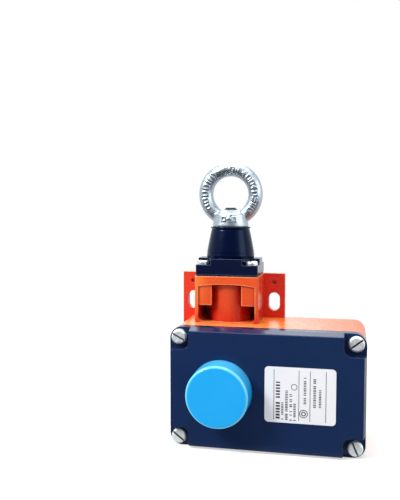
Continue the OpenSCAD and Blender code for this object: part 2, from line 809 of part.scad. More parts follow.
module block_outline() translate([block_x, block_z - block_half_h]) square([block_w, 2 * block_half_h]);

module insert_base() color("#D9D6CC") difference() {
    union() {
        along_y(block_front, block_back) block_outline();
        for (z = [pull_z, block_z, slack_z])
            block([terminal_x - 5, block_right], [block_front - 6, block_front + 1], [z - 0.6, z + 0.6]);
    }
    for (c = channels) {
        block([chamber_x, chamber_end], [block_front - 1, chamber_back],
            [c[0] - chamber_half, c[0] + chamber_half]);
        translate([0, rod_y, c[0]]) cyl_x(plunger_r + run_gap, block_x - 1, chamber_x + 1);
    }
    for (x = block_screw_x) translate([x, 0, block_z]) cyl_y(m3_r + screw_gap, block_front - 1, block_back + 1);
    at_terminals() cyl_y(m35_r + thread_gap, block_front - 1, block_front + 10);
}

module insert_cover() color("#C4C8CC") difference() {
    block([block_x, chamber_end + 2], [block_front - block_cover_t, block_front],
        [block_z - block_half_h, block_z + block_half_h]);
    for (z = strip_levels)
        block([strip_x - 0.2, chamber_end + 3], [block_front - strip_t - 0.1, block_front + 1],
            [z - strip_w / 2 - 0.1, z + strip_w / 2 + 0.1]);
    for (x = block_screw_x)
        translate([x, 0, block_z]) cyl_y(m3_r + screw_gap, block_front - block_cover_t - 1, block_front + 1);
}

module insert_screws() color(zinc) for (x = block_screw_x)
    translate([x, block_front - block_cover_t, block_z]) rotate([90, 0, 0])
        pan_screw(m3_r, m3_head, -2.5 - block_front + block_cover_t, 50);

// A plunger: round tip on the cam, a stop collar and a tail through its bridge
module plunger(channel) translate([0, rod_y, channel[0]]) {
    stop = collar_x + channel[2] - closed_x;
    translate([channel[1], 0, 0]) sphere(plunger_r);
    cyl_x(plunger_r, channel[1], channel[2]);
    cyl_x(collar_r, stop, stop + collar_t);
    cyl_x(1.2, channel[2] - e, channel[2] + 3.5);
}

module pull_plunger() color("#D8D2C0") plunger(pull_channel);

module slack_plunger() color("#D8D2C0") plunger(slack_channel);

module bridge(channel) translate([0, rod_y, channel[0]]) difference() {
    union() {
        block([channel[2], channel[2] + strip_t], [-bridge_d / 2, bridge_d / 2], [-bridge_half, bridge_half]);
        for (s = [-1, 1]) translate([0, 0, s * strip_z]) cyl_x(1.5, channel[2] - rivet_t, channel[2] + e);
    }
    cyl_x(1.2 + thread_gap, channel[2] - 1, channel[2] + 3);
}

module pull_bridge() color(brass) bridge(pull_channel);

module slack_bridge() color(brass) bridge(slack_channel);

module plunger_spring(channel) translate([channel[2] + strip_t, rod_y, channel[0]]) rotate([0, 90, 0])
    coil(2, 0.6, chamber_end - channel[2] - strip_t, 6, 14, 6);

module pull_plunger_spring() color(steel) plunger_spring(pull_channel);

module slack_plunger_spring() color(steel) plunger_spring(slack_channel);

// Each fixed contact: a leg down into its chamber, a strip along the front and a terminal pad
module fixed_contacts() color(brass) difference() {
    for (z = strip_levels) {
        block([strip_x, strip_x + strip_t], [block_front - strip_t, chamber_back], [z - strip_w / 2, z + strip_w / 2]);
        block([strip_x, block_right - 2], [block_front - strip_t, block_front], [z - strip_w / 2, z + strip_w / 2]);
        block([terminal_x - 4, terminal_x + 4], [block_front - strip_t, block_front], [z - pad_w / 2, z + pad_w / 2]);
        translate([0, rod_y, z]) cyl_x(1.5, strip_x + strip_t - e, strip_x + strip_t + rivet_t);
    }
    at_terminals() cyl_y(m35_r + thread_gap, block_front - 3, block_front + 1);
}

module terminal_clamps() color(zinc) difference() {
    for (z = strip_levels)
        block([terminal_x - clamp_w / 2, terminal_x + clamp_w / 2],
            [block_front - strip_t - clamp_t, block_front - strip_t], [z - clamp_w / 2, z + clamp_w / 2]);
    at_terminals() cyl_y(m35_r + screw_gap, block_front - 4, block_front + 1);
}

module terminal_screws() color(zinc) at_terminals() translate([0, block_front - strip_t - clamp_t, 0])
    rotate([90, 0, 0]) pan_screw(m35_r, m35_head, 9, 70);

// ---- earth terminal and cable entries ----

// A square clamp with two turned-up edges that keep the wire in
module earth_clamp() color(brass) translate([earth_x, 0, earth_z]) difference() {
    y = in_back - earth_boss;
    union() {
        block([-4.2, 4.2], [y - clamp_t, y], [-4.2, 4.2]);
        for (x = [-4.2, 3.4]) block([x, x + 0.8], [y - 2.6, y], [-4.2, 4.2]);
    }
    cyl_y(m4_r + screw_gap, y - 4, y + 1);
}

module earth_screw() color(brass) translate([earth_x, in_back - earth_boss - clamp_t, earth_z])
    rotate([90, 0, 0]) pan_screw(m4_r, [3.2, 2.6], 6.5, 10);

module blanking_plug() color(navy) translate([plug_x, entry_y, bottom_z + 0.3]) difference() {
    cyl_z(entry_r - thread_gap, 0, entry_l - 0.3);
    translate([0, 0, -1]) cylinder(r = 10 / sqrt(3), h = 6, $fn = 6);
}

housing();
cover_gasket();
cover();
cover_screws();
label_plate();
reset_button();
reset_stem();
reset_bush();
reset_seal();
reset_spring();
reset_clip();
head_gasket();
head_flange();
head_screws();
guide_bush();
rod_seal();
boot();
boot_washer();
lock_nut();
pull_eye();
pull_rod();
spring_plate();
plate_clip();
main_spring();
lower_bush();
switching_cam();
cam_washer();
cam_nut();
latch_bracket();
bracket_screws();
latch_pin();
latch_pawl();
latch_spring();
latch_clip();
insert_base();
insert_cover();
insert_screws();
pull_plunger();
slack_plunger();
pull_bridge();
slack_bridge();
pull_plunger_spring();
slack_plunger_spring();
fixed_contacts();
terminal_clamps();
terminal_screws();
earth_screw();
earth_clamp();
blanking_plug();
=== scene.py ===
"""Looks of the rope pull switch: enamel, moulded plastic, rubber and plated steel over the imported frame.

Laid out as an add-on and run as a script. In metres: X to the right, Y away from the operator, Z up the rod.
"""

import math

import bmesh
import bpy
from bpy.props import FloatProperty, FloatVectorProperty, PointerProperty
from mathutils import Matrix, Vector


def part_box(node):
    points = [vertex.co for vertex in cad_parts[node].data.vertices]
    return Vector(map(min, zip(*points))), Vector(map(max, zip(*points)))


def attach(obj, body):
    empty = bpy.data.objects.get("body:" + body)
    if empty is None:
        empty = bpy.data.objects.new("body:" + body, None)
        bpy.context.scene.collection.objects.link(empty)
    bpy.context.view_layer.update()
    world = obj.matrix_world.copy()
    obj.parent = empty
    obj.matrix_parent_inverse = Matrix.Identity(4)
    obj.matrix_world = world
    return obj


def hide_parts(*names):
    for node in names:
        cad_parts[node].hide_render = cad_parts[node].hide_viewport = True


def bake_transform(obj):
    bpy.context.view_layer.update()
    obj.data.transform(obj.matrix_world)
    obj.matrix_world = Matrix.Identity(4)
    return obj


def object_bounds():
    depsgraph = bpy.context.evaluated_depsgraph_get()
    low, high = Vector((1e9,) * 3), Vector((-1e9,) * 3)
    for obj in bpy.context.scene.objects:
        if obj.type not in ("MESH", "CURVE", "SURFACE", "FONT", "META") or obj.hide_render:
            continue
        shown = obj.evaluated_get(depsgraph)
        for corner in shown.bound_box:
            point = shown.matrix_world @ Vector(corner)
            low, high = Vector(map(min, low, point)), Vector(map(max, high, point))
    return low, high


bl_info = {
    "name": "Rope pull switch looks",
    "version": (1, 0, 0),
    "blender": (4, 5, 0),
    "location": "3D View > Sidebar > Rope Switch",
    "description": "Finishes, springs, boot and rating plate of a rope pull switch",
    "category": "Object",
}

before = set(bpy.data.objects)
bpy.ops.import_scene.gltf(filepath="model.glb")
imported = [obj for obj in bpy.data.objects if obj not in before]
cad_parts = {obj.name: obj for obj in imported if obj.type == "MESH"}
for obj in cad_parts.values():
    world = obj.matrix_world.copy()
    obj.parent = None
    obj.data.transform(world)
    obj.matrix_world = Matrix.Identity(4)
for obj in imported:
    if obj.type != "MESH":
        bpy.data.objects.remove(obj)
cad_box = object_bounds()
MM = 0.001
MATHS = "ShaderNodeMath"


def linear(hex_colour):
    """An sRGB hex colour as linear RGBA."""
    shares = [int(hex_colour[i:i + 2], 16) / 255 for i in (1, 3, 5)]
    return [s / 12.92 if s <= 0.04045 else ((s + 0.055) / 1.055) ** 2.4 for s in shares] + [1.0]


def colour_property(name, hex_colour, description):
    """A colour that the user may change."""
    return FloatVectorProperty(name=name, description=description, subtype="COLOR", size=4,
                               min=0, max=1, default=linear(hex_colour))


def length_property(name, millimetres, description):
    """A length that the user may change."""
    return FloatProperty(name=name, description=description, subtype="DISTANCE", unit="LENGTH",
                         min=0, default=millimetres * MM)


class SwitchFinishes(bpy.types.PropertyGroup):
    """Colours and surface sizes of the switch."""

    enamel: colour_property("Housing enamel", "#DC4F1B", "Signal orange of the enamelled casting")
    # Painted highlight: the paler, yellower orange laid on the lit tops and on the neck's left front.
    enamel_lit: colour_property("Thin enamel", "#FF9440", "Where the enamel is thin and bleached")
    # Painted highlight: the paler orange laid along the open edges of the housing.
    enamel_edge_highlight: colour_property("Edge enamel", "#FFAA6C", "Paler orange along the edges")
    # Painted shade: the deeper red laid in the corners and recesses of the housing.
    enamel_corner_shade: colour_property("Enamel in corners", "#B41D10", "Where the enamel is thick, in the corners")
    # Painted shade: the deeper red of the ears' fronts, which lie in the neck's shadow.
    enamel_ear_shade: colour_property("Enamel on the ears", "#DC2C16", "Deeper red on the fronts of the ears")
    enamel_peel: length_property("Enamel peel", 1.7, "Distance between the ripples in the enamel")
    navy: colour_property("Cover plastic", "#13284E", "Navy of the moulded cover and the blanking plug")
    flange: colour_property("Flange plastic", "#07112F", "Darker navy of the head flange")
    # Painted highlight: the paler navy laid along the edges of the cover and the flange.
    navy_edge_highlight: colour_property("Worn plastic", "#5E6C8C", "Paler navy of burnished edges")
    blue: colour_property("Button plastic", "#13A2E8", "Sky blue of the reset button")
    # Painted highlight: the paler blue laid round the button's edge and on its upper side.
    blue_highlight: colour_property("Button edge", "#7FDCFA", "Paler blue round the button's edge")
    rubber: colour_property("Rubber", "#030826", "Blue-black of the boot and the seals")
    zinc: colour_property("Zinc plate", "#B4BEC6", "Blue-passivated zinc on the forged eye")
    screw_zinc: colour_property("Screw plate", "#F0F3F4", "Brighter zinc on the cold-headed screws")
    # Painted shade: the dark laid in the slots of the screws.
    slot_shade: colour_property("Grime", "#2A2D31", "Dirt in the slots of the screws")
    film: colour_property("Plate film", "#E4E5E9", "White film of the rating plate")
    ink: colour_property("Plate ink", "#2B2F36", "Grey ink of the bars, rules and rings")


class SwitchSizes(bpy.types.PropertyGroup):
    """Sizes of the pieces that are made here."""

    boot_wall: length_property("Boot wall", 2.4, "Thickness of the boot's rubber")
    boot_top: length_property("Boot top radius", 13.8, "Radius of the boot's lip under the eye")
    mark_rise: length_property("Mark height", 0.4, "How far the forged marks stand out of the eye")
    forge_grain: length_property("Forging grain", 0.3, "Size of the facets that the forging is built from")
    print_rise: length_property("Print height", 0.03, "Thickness of the ink on the rating plate")


class SwitchStage(bpy.types.PropertyGroup):
    """Lamps, room and floor round the switch."""

    key_power: FloatProperty(name="Key lamp", description="Power of the key lamp", unit="POWER",
                             min=0, default=15.6)
    ambient: FloatProperty(name="Ambient", description="Strength of the room's light on matt surfaces",
                           min=0, max=1, default=0.28)
    daylight: colour_property("Daylight", "#F0F9FF", "What gloss sees of the white room")
    flag: FloatProperty(name="Flag", description="What gloss sees of the dark side of the room, in front",
                        min=0, max=1, default=0.08)
    floor: colour_property("Floor", "#C4C4C4", "Pale floor under the switch")


# ---- building blocks ----


def add(tree, kind, inputs=None, **settings):
    """Adds a node. Each input is a constant, a socket to link, or a node whose first output is linked."""
    node = tree.nodes.new(kind)
    for key, value in settings.items():
        setattr(node, key, value)
    for key, value in (inputs or {}).items():
        if isinstance(value, bpy.types.Node):
            value = value.outputs[0]
        if isinstance(value, bpy.types.NodeSocket):
            tree.links.new(value, node.inputs[key])
        else:
            node.inputs[key].default_value = value
    return node


def finish(name, colour, *nodes, grain=0, depth=0, rounding=0, detail=2.0, stretch=(1, 1, 1), drift, patch,
           rough=None, **sockets):
    """Makes a finish and gives it to these CAD nodes. Returns the material, its tree and its shader.

    Its bumps have that grain and depth, over edges rounded by that radius. Its colour drifts by that share
    over patches of that size, and its roughness with it, between the two limits. Lengths are in millimetres.
    The other sockets are the shader's own constants, with an underscore for a space.
    """
    made = bpy.data.materials.new(name)
    made.use_nodes = True
    made.diffuse_color = colour
    tree = made.node_tree
    tree.nodes.clear()
    shader = add(tree, "ShaderNodeBsdfPrincipled",
                 {"Base Color": colour, **{key.replace("_", " "): value for key, value in sockets.items()}})
    add(tree, "ShaderNodeOutputMaterial", {"Surface": shader})
    place = add(tree, "ShaderNodeTexCoord").outputs["Object"]
    cloud = add(tree, "ShaderNodeTexNoise", {"Vector": place, "Scale": 1 / (patch * MM), "Detail": 3.0})
    darker, lighter = ([min(1, c * (1 + side * drift)) for c in colour[:3]] + [1] for side in (-1, 1))
    drifting = add(tree, "ShaderNodeMix", {"Factor": cloud, "A": darker, "B": lighter}, data_type="RGBA")
    tree.links.new(drifting.outputs["Result"], shader.inputs["Base Color"])
    if rough:
        gloss = add(tree, "ShaderNodeMapRange", {"Value": cloud, "From Min": 0.3, "From Max": 0.7,
                                                 "To Min": rough[0], "To Max": rough[1]})
        tree.links.new(gloss.outputs[0], shader.inputs["Roughness"])
    if grain:
        noise = add(tree, "ShaderNodeTexNoise", {
            "Vector": add(tree, "ShaderNodeMapping", {"Vector": place, "Scale": stretch}),
            "Scale": 1 / (grain * MM), "Detail": detail, "Roughness": 0.55})
        rounded = add(tree, "ShaderNodeBevel", {"Radius": rounding * MM}, samples=6)
        bump = add(tree, "ShaderNodeBump", {"Strength": 1.0, "Distance": depth * MM, "Height": noise,
                                            "Normal": rounded})
        tree.links.new(bump.outputs[0], shader.inputs["Normal"])
    for node in nodes:
        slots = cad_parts[node].data.materials
        slots.clear()
        slots.append(made)
    return made, tree, shader


def tint(tree, shader, share, colour):
    """Mixes that colour into the shader's own by that share."""
    own = shader.inputs["Base Color"].links[0].from_socket
    mix = add(tree, "ShaderNodeMix", {"Factor": share, "A": own, "B": colour}, data_type="RGBA")
    tree.links.new(mix.outputs["Result"], shader.inputs["Base Color"])


def mask(tree, *limits, most=1.0):
    """A share up to most. Each limit is a value, where it counts for nothing and where it counts in full."""
    share = most
    for value, nothing_at, full_at in limits:
        share = add(tree, "ShaderNodeMapRange",
                    {"Value": value, "From Min": nothing_at, "From Max": full_at, "To Max": share})
    return share


def edges(tree, radius, most=1.0):
    """Up to that share along outer edges, out to that radius in mm, and 0 on open faces and in corners."""
    turn = add(tree, "ShaderNodeVectorMath", {
        0: add(tree, "ShaderNodeBevel", {"Radius": radius * MM}, samples=6),
        1: add(tree, "ShaderNodeNewGeometry").outputs["Normal"]}, operation="DOT_PRODUCT")
    room = add(tree, "ShaderNodeAmbientOcclusion", {"Distance": 10 * MM}, samples=8, only_local=True)
    return mask(tree, (turn.outputs["Value"], 0.99, 0.8), (room.outputs["AO"], 0.78, 0.97), most=most)


def piece(name, mesh, made):
    """A finished object at the origin with that mesh and material."""
    mesh.materials.clear()
    mesh.materials.append(made)
    item = bpy.data.objects.new(name, mesh)
    bpy.context.scene.collection.objects.link(item)
    return item


def tree_of(name, sizes, counts=()):
    """An empty geometry node tree with these named inputs. Returns it and its input sockets."""
    tree = bpy.data.node_groups.new(name, "GeometryNodeTree")
    for key in sizes:
        tree.interface.new_socket(key, in_out="INPUT", socket_type="NodeSocketFloat")
    for key in counts:
        tree.interface.new_socket(key, in_out="INPUT", socket_type="NodeSocketInt")
    tree.interface.new_socket("Material", in_out="INPUT", socket_type="NodeSocketMaterial")
    tree.interface.new_socket("Geometry", in_out="OUTPUT", socket_type="NodeSocketGeometry")
    return tree, add(tree, "NodeGroupInput").outputs


def close_tree(tree, entry, geometry):
    """Ends a tree in Realize Instances and Set Material, shaded smooth."""
    real = add(tree, "GeometryNodeRealizeInstances", {"Geometry": geometry})
    coated = add(tree, "GeometryNodeSetMaterial", {"Geometry": real, "Material": entry["Material"]})
    smooth = add(tree, "GeometryNodeSetShadeSmooth", {"Geometry": coated})
    add(tree, "NodeGroupOutput", {"Geometry": smooth})
    return tree


def grow(tree, **inputs):
    """The mesh that a geometry node tree makes from these inputs; an underscore stands for a space."""
    host = bpy.data.objects.new("host", bpy.data.meshes.new("host"))
    bpy.context.scene.collection.objects.link(host)
    modifier = host.modifiers.new("nodes", "NODES")
    modifier.node_group = tree
    keys = {s.name: s.identifier for s in tree.interface.items_tree if s.in_out == "INPUT"}
    for name, value in inputs.items():
        modifier[keys[name.replace("_", " ")]] = value
    mesh = bpy.data.meshes.new_from_object(host.evaluated_get(bpy.context.evaluated_depsgraph_get()))
    host.modifiers.clear()
    bpy.data.objects.remove(host)
    if not mesh.polygons:
        raise RuntimeError(f"{tree.name} made no faces")
    return mesh


def lathe(name, profile, centre, steps):
    """A closed ring of (radius, height) points turned about a vertical axis."""
    mesh = bpy.data.meshes.new(name)
    n = len(profile)
    points = [(centre[0] + r * math.cos(a), centre[1] + r * math.sin(a), z)
              for a in (2 * math.pi * i / steps for i in range(steps)) for r, z in profile]
    faces = [(i * n + k, (i + 1) % steps * n + k, (i + 1) % steps * n + (k + 1) % n, i * n + (k + 1) % n)
             for i in range(steps) for k in range(n)]
    mesh.from_pydata(points, [], faces)
    mesh.shade_smooth()
    return mesh


# ---- finishes ----


class SWITCH_OT_enamel_housing(bpy.types.Operator):
    """Enamel the die-cast housing"""

    bl_idname = "switch.enamel_housing"
    bl_label = "Enamel the housing"

    def execute(self, context):
        looks = context.scene.switch_finishes
        # Stoved enamel on die-cast aluminium: a wet gloss broken by orange peel and the casting's own skin.
        # Its ripples are drawn at 1.7 mm, coarser than the real 1 mm, so that they show.
        _, tree, shader = finish(
            "stoved_enamel_orange", looks.enamel, "housing", grain=looks.enamel_peel / MM, depth=0.12,
            rounding=0.5, drift=0.05, patch=14, rough=(0.22, 0.32), IOR=1.5)
        normal = add(tree, "ShaderNodeSeparateXYZ",
                     {0: add(tree, "ShaderNodeNewGeometry").outputs["Normal"]}).outputs
        place = add(tree, "ShaderNodeSeparateXYZ",
                    {0: add(tree, "ShaderNodeTexCoord").outputs["Object"]}).outputs
        room = add(tree, "ShaderNodeAmbientOcclusion", {"Distance": 26 * MM}, samples=8,
                   only_local=True).outputs["AO"]
        # Painted shade: a deeper red in the corners and recesses, on faces that don't face up.
        tint(tree, shader, mask(tree, (room, 0.97, 0.42), (normal["Z"], 0.8, 0.2)), looks.enamel_corner_shade)
        # Painted highlight: a paler, yellower orange on the open tops, less so to the right, and on the
        # neck's left front.
        left = add(tree, "ShaderNodeMapRange", {"Value": place["X"], "From Min": 0.02, "From Max": 0.055,
                                                "To Min": 0.85, "To Max": 0.3})
        tint(tree, shader, mask(tree, (normal["Z"], 0.3, 0.9), (room, 0.2, 0.4), most=left),
             looks.enamel_lit)
        tint(tree, shader, mask(tree, (place["X"], -0.012, -0.022), (place["Z"], -0.011, 0.02),
                                (normal["Y"], -0.3, -0.8), most=0.6), looks.enamel_lit)
        # Painted highlight: a paler orange along the open outer edges.
        tint(tree, shader, edges(tree, 1.4), looks.enamel_edge_highlight)
        # Painted shade: the fronts of the two ears, in the neck's shadow, are a deeper red.
        tint(tree, shader, mask(tree, (place["Y"], -0.009, -0.007), (normal["Y"], -0.4, -0.9), most=0.9),
             looks.enamel_ear_shade)
        return {"FINISHED"}


class SWITCH_OT_finish_plastics(bpy.types.Operator):
    """Finish the moulded and machined plastics"""

    bl_idname = "switch.finish_plastics"
    bl_label = "Finish the plastics"

    def execute(self, context):
        looks = context.scene.switch_finishes
        # Glass-filled polyamide, spark-eroded mould: dark satin, a faint grain, and a painted highlight along
        # its edges.
        _, tree, shader = finish(
            "moulded_polyamide_navy", looks.navy, "cover", "blanking_plug", grain=0.8, depth=0.02,
            rounding=0.35, drift=0.08, patch=18, rough=(0.15, 0.22), IOR=1.5, Specular_IOR_Level=0.3)
        tint(tree, shader, edges(tree, 0.4, most=0.6), looks.navy_edge_highlight)
        # The head flange is the same plastic with more carbon black in it: nearly black, with a painted
        # highlight along its edge.
        _, tree, shader = finish(
            "moulded_polyamide_dark", looks.flange, "head_flange", grain=0.8, depth=0.02, rounding=0.35,
            drift=0.1, patch=12, rough=(0.15, 0.22), IOR=1.5, Specular_IOR_Level=0.25)
        tint(tree, shader, edges(tree, 0.9, most=0.8), looks.navy_edge_highlight)
        # Polyamide from a polished mould: an even colour, and a soft broad highlight round the rolled edge.
        _, tree, shader = finish(
            "moulded_polyamide_blue", looks.blue, "reset_button", grain=1.1, depth=0.015, rounding=1.6,
            drift=0.03, patch=16, rough=(0.17, 0.24), IOR=1.5)
        # Painted highlight: paler round that edge, and a little on the upper side.
        normal = add(tree, "ShaderNodeSeparateXYZ",
                     {0: add(tree, "ShaderNodeNewGeometry").outputs["Normal"]}).outputs
        rolled = mask(tree, (normal["Y"], -0.99, -0.85), (normal["Y"], -0.1, -0.4), most=0.7)
        upper = mask(tree, (normal["Y"], -0.9, -0.4), (normal["Z"], 0.1, 0.9), most=0.3)
        tint(tree, shader, rolled, looks.blue_highlight)
        tint(tree, shader, upper, looks.blue_highlight)
        # Machined acetal: waxy off-white with turning lines 0.4 mm apart.
        finish("machined_acetal", linear("#E6E2D4"), "switching_cam", "pull_plunger", "slack_plunger",
               grain=0.4, depth=0.01, rounding=0.2, stretch=(0.2, 0.2, 1), drift=0.03, patch=8,
               Roughness=0.4, IOR=1.48, Subsurface_Weight=0.1, Subsurface_Scale=0.002)
        # Melamine moulding: dull cream with fine filler specks.
        finish("moulded_melamine", linear("#CFC9B6"), "insert_base", grain=0.5, depth=0.015, rounding=0.2,
               drift=0.06, patch=3, Roughness=0.5, IOR=1.6)
        # Grey polycarbonate: a smooth shiny lid over the contacts.
        finish("moulded_polycarbonate", linear("#9EA5AB"), "insert_cover", grain=1.5, depth=0.01,
               rounding=0.25, drift=0.04, patch=6, Roughness=0.25, IOR=1.58)
        return {"FINISHED"}


class SWITCH_OT_finish_metals(bpy.types.Operator):
    """Finish the plated, ground and turned metals"""

    bl_idname = "switch.finish_metals"
    bl_label = "Finish the metals"

    def execute(self, context):
        looks = context.scene.switch_finishes
        # Zinc plate on cold-headed steel: bright, slightly milky, with a fine drift in its gloss.
        _, plate_tree, plate_shader = finish(
            "zinc_plate_screws", looks.screw_zinc, "cover_screws", "boot_washer", "lock_nut", "cam_washer",
            "cam_nut", "latch_bracket", "bracket_screws", "insert_screws", "terminal_clamps",
            "terminal_screws", grain=0.7, depth=0.02, rounding=0.3, drift=0.1, patch=1.6,
            rough=(0.55, 0.74), Metallic=1.0)
        # The small flange screws are turned and plated unevenly: dark and bright patches about 1.1 mm across.
        _, turned_tree, turned_shader = finish(
            "zinc_plate_turned", looks.screw_zinc, "head_screws", grain=1.1, depth=0.16, rounding=0.3,
            detail=3.0, drift=0.15, patch=1.4, rough=(0.3, 0.5), Metallic=1.0)
        # Painted shade darkens the slots of both.
        for tree, shader, open_at, deep_at in ((plate_tree, plate_shader, 0.8, 0.35),
                                               (turned_tree, turned_shader, 0.95, 0.4)):
            room = add(tree, "ShaderNodeAmbientOcclusion", {"Distance": 2 * MM}, samples=8, only_local=True)
            tint(tree, shader, mask(tree, (room.outputs["AO"], open_at, deep_at)), looks.slot_shade)
        # Zinc plate on a drop forging: the scale-blasted skin shows through as shallow dimples.
        finish("zinc_plate_forging", looks.zinc, "pull_eye", grain=1.8, depth=0.1, rounding=0.6,
               drift=0.12, patch=4, rough=(0.32, 0.48), Metallic=1.0)
        # Centreless-ground stainless bar: a close polish with fine rings.
        finish("ground_stainless", linear("#BFC2C5"), "reset_stem", "spring_plate", "latch_pin", grain=0.3,
               depth=0.004, rounding=0.2, stretch=(0.1, 0.1, 1), drift=0.04, patch=5, rough=(0.14, 0.24),
               Metallic=1.0)
        # Black-oxided steel bar: near-black, oily, with turning marks 0.5 mm apart, drawn coarser than the
        # real 0.2 mm so that they show.
        finish("black_oxide_steel", linear("#2B2D30"), "pull_rod", grain=0.5, depth=0.008, rounding=0.15,
               stretch=(0.15, 0.15, 1), drift=0.15, patch=4, rough=(0.36, 0.5), Metallic=0.6)
        # Oil-tempered spring wire and stamped spring steel: darker grey with a fine, dull skin.
        finish("spring_steel", linear("#7F868C"), "reset_clip", "plate_clip", "latch_clip", grain=0.5,
               depth=0.008, rounding=0.1, drift=0.1, patch=2, rough=(0.28, 0.42), Metallic=1.0)
        # Sintered steel: matt dark grey with open pores.
        finish("sintered_steel", linear("#6E7276"), "latch_pawl", grain=0.4, depth=0.03, rounding=0.2,
               drift=0.15, patch=1, rough=(0.42, 0.56), Metallic=1.0)
        # Turned brass: warm, with tool lines round the bushes.
        finish("turned_brass", linear("#C59E48"), "reset_bush", "guide_bush", "lower_bush", "pull_bridge",
               "slack_bridge", "fixed_contacts", "earth_clamp", "earth_screw", grain=0.35, depth=0.008,
               rounding=0.2, stretch=(0.15, 0.15, 1), drift=0.08, patch=4, rough=(0.22, 0.36), Metallic=1.0)
        return {"FINISHED"}


class SWITCH_OT_finish_seals(bpy.types.Operator):
    """Finish the rubber seals"""

    bl_idname = "switch.finish_seals"
    bl_label = "Finish the seals"

    def execute(self, context):
        # Cut nitrile sheet and moulded lip seals: flat black with a talc bloom.
        finish("nitrile_seals", context.scene.switch_finishes.rubber, "cover_gasket", "head_gasket",
               "reset_seal", "rod_seal", grain=0.6, depth=0.02, rounding=0.15, drift=0.25, patch=3,
               rough=(0.52, 0.7), IOR=1.5)
        return {"FINISHED"}


# ---- pieces ----


class SWITCH_OT_make_boot(bpy.types.Operator):
    """Mould the rubber boot"""

    bl_idname = "switch.make_boot"
    bl_label = "Make the boot"

    def execute(self, context):
        looks, sizes = context.scene.switch_finishes, context.scene.switch_sizes
        low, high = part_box("boot")
        centre = ((low[0] + high[0]) / 2, (low[1] + high[1]) / 2)
        foot_r, top_r, bore = (high[0] - low[0]) / 2, sizes.boot_top, 5.1 * MM
        foot, lip, web = 3.2 * MM, 1.6 * MM, 2.0 * MM
        waist, bulge, rounding, groove = 0.5 * MM, 0.1 * MM, 0.3 * MM, 0.25 * MM
        foot_top, lip_base, web_base = low[2] + foot, high[2] - lip, high[2] - web
        wall = []
        steps = 26
        for i in range(steps + 1):
            t = i / steps
            wall.append((foot_r + (top_r - waist - foot_r) * t + bulge * math.sin(math.pi * t),
                         foot_top + (lip_base - foot_top) * t))
        outer = [(foot_r - rounding, low[2]), (foot_r, low[2] + rounding), (foot_r, foot_top - 2 * groove),
                 (foot_r - groove, foot_top - 0.1 * MM), *wall[1:-1], (wall[-1][0] - groove, lip_base),
                 (top_r - 0.1 * MM, lip_base + 0.35 * MM), (top_r, lip_base + 0.6 * MM),
                 (top_r, high[2] - rounding), (top_r - rounding, high[2])]
        inner = [(bore, high[2]), (bore, web_base)]
        inner += [(r - sizes.boot_wall, z) for r, z in reversed(wall) if z < web_base - 0.1 * MM]
        inner += [(foot_r - sizes.boot_wall, low[2])]
        # Moulded rubber: blue-black with a soft blue sheen that streaks down its flanks, and a faint bloom.
        rubber = finish(
            "moulded_rubber", looks.rubber, grain=0.9, depth=0.02, rounding=0.2, drift=0.2, patch=6,
            rough=(0.17, 0.23), IOR=1.5, Specular_IOR_Level=0.17, Specular_Tint=linear("#A8D2FF"),
            Sheen_Weight=0.05, Sheen_Roughness=0.3, Sheen_Tint=linear("#5AA0D8"))[0]
        boot = piece("rubber_boot", lathe("rubber_boot", outer + inner, centre, 96), rubber)
        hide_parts("boot")
        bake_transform(boot)
        return {"FINISHED"}


SPRINGS = {
    # node: axis, wire in mm, turns, body at its low end, body at its high end
    "main_spring": ((0, 0, 1), 1.8, 7, "pull_rod", "housing"),
    "reset_spring": ((0, 1, 0), 1.5, 8, "reset_button", "housing"),
    "latch_spring": ((1, 0, 0), 0.9, 6, "housing", "latch_pawl"),
    "pull_plunger_spring": ((1, 0, 0), 0.6, 6, "pull_plunger", "housing"),
    "slack_plunger_spring": ((1, 0, 0), 0.6, 6, "slack_plunger", "housing"),
}


def spring_tree():
    """A wound spring along Z, with one closed coil at each end."""
    tree, entry = tree_of("wound_spring", ("Mean Radius", "Wire", "Length", "Turns"))
    turned = add(tree, MATHS, {0: add(tree, "GeometryNodeSplineParameter"), 1: entry["Turns"]},
                 operation="MULTIPLY")
    last = add(tree, MATHS, {0: entry["Turns"], 1: 1}, operation="SUBTRACT")
    open_length = add(tree, MATHS, {0: entry["Wire"], 1: -3, 2: entry["Length"]}, operation="MULTIPLY_ADD")
    half_wire = add(tree, MATHS, {0: entry["Wire"], 1: 0.5}, operation="MULTIPLY")
    height = half_wire
    for start, end, rise in ((0, 1, entry["Wire"]), (1, last, open_length),
                             (last, entry["Turns"], entry["Wire"])):
        climb = add(tree, "ShaderNodeMapRange",
                    {"Value": turned, "From Min": start, "From Max": end, "To Max": rise})
        height = add(tree, MATHS, {0: height, 1: climb}, operation="ADD")
    angle = add(tree, MATHS, {0: turned, 1: 2 * math.pi}, operation="MULTIPLY")
    x, y = (add(tree, MATHS, {0: entry["Mean Radius"], 1: add(tree, MATHS, {0: angle}, operation=side)},
                operation="MULTIPLY") for side in ("COSINE", "SINE"))
    points_per_turn = 36
    line = add(tree, "GeometryNodeResampleCurve", {
        "Curve": add(tree, "GeometryNodeCurvePrimitiveLine"),
        "Count": add(tree, MATHS, {0: entry["Turns"], 1: points_per_turn}, operation="MULTIPLY")})
    helix = add(tree, "GeometryNodeSetPosition", {
        "Geometry": line, "Position": add(tree, "ShaderNodeCombineXYZ", {"X": x, "Y": y, "Z": height})})
    section = add(tree, "GeometryNodeCurvePrimitiveCircle", {"Resolution": 12, "Radius": half_wire})
    wound = add(tree, "GeometryNodeCurveToMesh",
                {"Curve": helix, "Profile Curve": section, "Fill Caps": True})
    return close_tree(tree, entry, wound)


